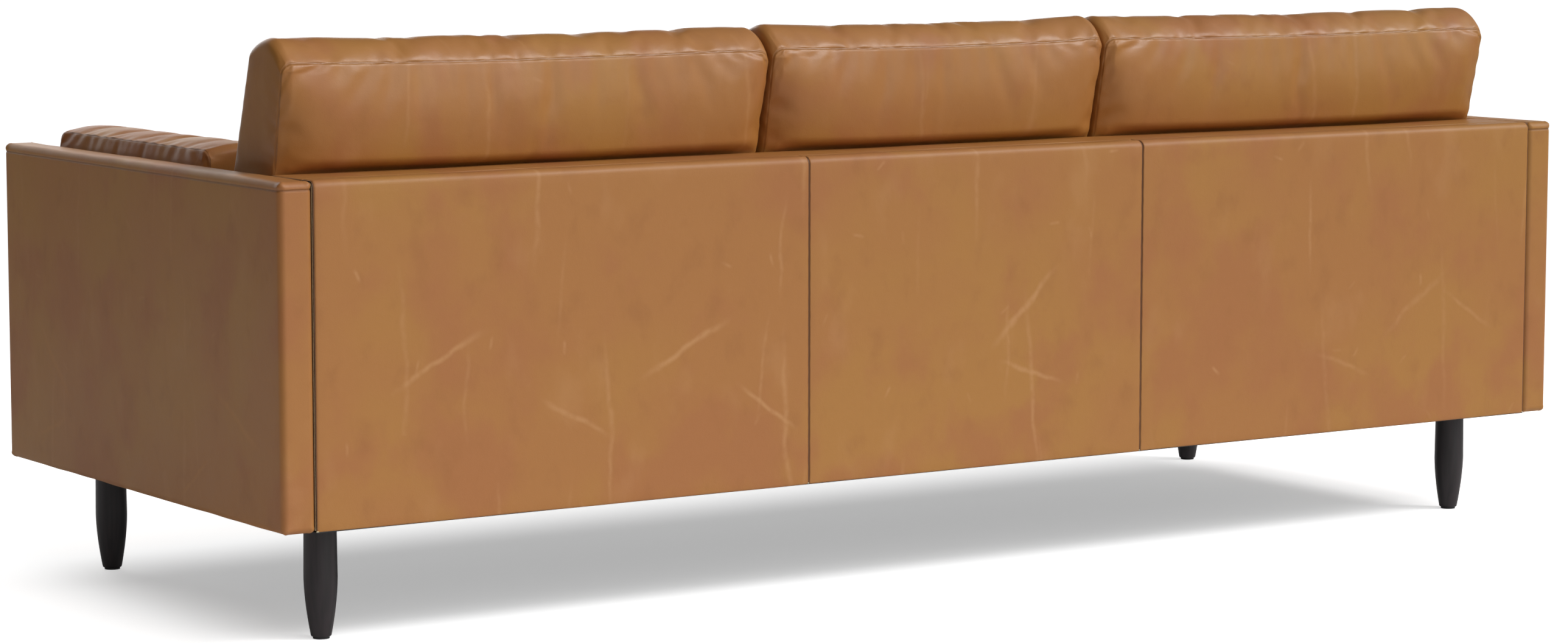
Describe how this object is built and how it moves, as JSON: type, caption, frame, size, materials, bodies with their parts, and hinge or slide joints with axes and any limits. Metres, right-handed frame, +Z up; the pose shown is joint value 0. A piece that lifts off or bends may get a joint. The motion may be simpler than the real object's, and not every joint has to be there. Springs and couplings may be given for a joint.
{
  "type": "leather sofa",
  "caption": "Long low sofa in tan leather with thin arms, loose seat and back cushions, arm pads, and round tapered dark wooden legs.",
  "frame": {"origin": "on the floor under the middle of the sofa's overall box", "axes": "+Z up, +X along the sofa (to the right as seen from the front), -Y towards the front"},
  "size_m": [2.394, 0.936, 0.8587],
  "materials": {
    "leather": "waxed pull-up leather, mottled and lightly scratched",
    "leg_wood": "dark stained, satin lacquer",
    "frame_timber": "planed softwood, unfinished",
    "hardboard": "pressed hardboard",
    "foam": "open-cell foam",
    "fibre_fill": "fibre filling in a cotton case",
    "webbing": "woven elastic webbing",
    "felt": "needled felt",
    "deck_cloth": "plain woven lining",
    "dust_cloth": "black nonwoven cloth",
    "zinc_steel": "zinc plated",
    "spring_wire": "bright drawn wire, lightly oiled",
    "glide_plastic": "moulded plastic"
  },
  "bodies": {
    "frame": {"front_rail": "frame_timber", "rear_rail": "frame_timber", "rear_seat_rail": "frame_timber", "side_rails": "frame_timber", "cross_rails": "frame_timber", "leg_blocks": "frame_timber", "back_uprights": "frame_timber", "back_slats": "frame_timber", "back_top_board": "frame_timber", "back_webbing": "webbing", "back_foam": "foam", "rear_board": "hardboard", "rear_foam": "foam", "arm_posts": "frame_timber", "arm_low_rails": "frame_timber", "arm_top_rails": "frame_timber", "arm_boards": "hardboard", "arm_foam": "foam", "arm_bolts": "zinc_steel", "seat_springs": "spring_wire", "spring_clips": "zinc_steel", "deck_pad": "felt", "deck_cloth": "deck_cloth", "front_foam": "foam", "dust_cover": "dust_cloth", "arm_cover_left": "leather", "arm_cover_right": "leather", "inner_back_cover": "leather", "front_border": "leather", "rear_panel_left": "leather", "rear_panel_middle": "leather", "rear_panel_right": "leather", "leg_front_left": "leg_wood", "leg_front_right": "leg_wood", "leg_rear_left": "leg_wood", "leg_rear_right": "leg_wood", "leg_plates": "zinc_steel", "plate_screws": "zinc_steel", "leg_studs": "zinc_steel", "foot_glides": "glide_plastic"},
    "seat_left": {"seat_cushion_left": "leather", "seat_foam_left": "foam"},
    "seat_middle": {"seat_cushion_middle": "leather", "seat_foam_middle": "foam"},
    "seat_right": {"seat_cushion_right": "leather", "seat_foam_right": "foam"},
    "back_left": {"back_cushion_left": "leather", "back_fill_left": "fibre_fill"},
    "back_middle": {"back_cushion_middle": "leather", "back_fill_middle": "fibre_fill"},
    "back_right": {"back_cushion_right": "leather", "back_fill_right": "fibre_fill"},
    "pad_left": {"arm_pad_left": "leather", "arm_pad_foam_left": "foam"},
    "pad_right": {"arm_pad_right": "leather", "arm_pad_foam_right": "foam"}
  },
  "joints": [
    {"name": "seat_left_pull", "type": "slide", "parent": "frame", "child": "seat_left", "axis": [0, -1, 0], "range_m": [0, 0.1]},
    {"name": "seat_middle_pull", "type": "slide", "parent": "frame", "child": "seat_middle", "axis": [0, -1, 0], "range_m": [0, 0.1]},
    {"name": "seat_right_pull", "type": "slide", "parent": "frame", "child": "seat_right", "axis": [0, -1, 0], "range_m": [0, 0.1]},
    {"name": "back_left_lift", "type": "slide", "parent": "frame", "child": "back_left", "axis": [0, 0, 1], "range_m": [0, 0.2]},
    {"name": "back_middle_lift", "type": "slide", "parent": "frame", "child": "back_middle", "axis": [0, 0, 1], "range_m": [0, 0.2]},
    {"name": "back_right_lift", "type": "slide", "parent": "frame", "child": "back_right", "axis": [0, 0, 1], "range_m": [0, 0.2]},
    {"name": "pad_left_lift", "type": "slide", "parent": "frame", "child": "pad_left", "axis": [0, 0, 1], "range_m": [0, 0.2]},
    {"name": "pad_right_lift", "type": "slide", "parent": "frame", "child": "pad_right", "axis": [0, 0, 1], "range_m": [0, 0.2]}
  ]
}
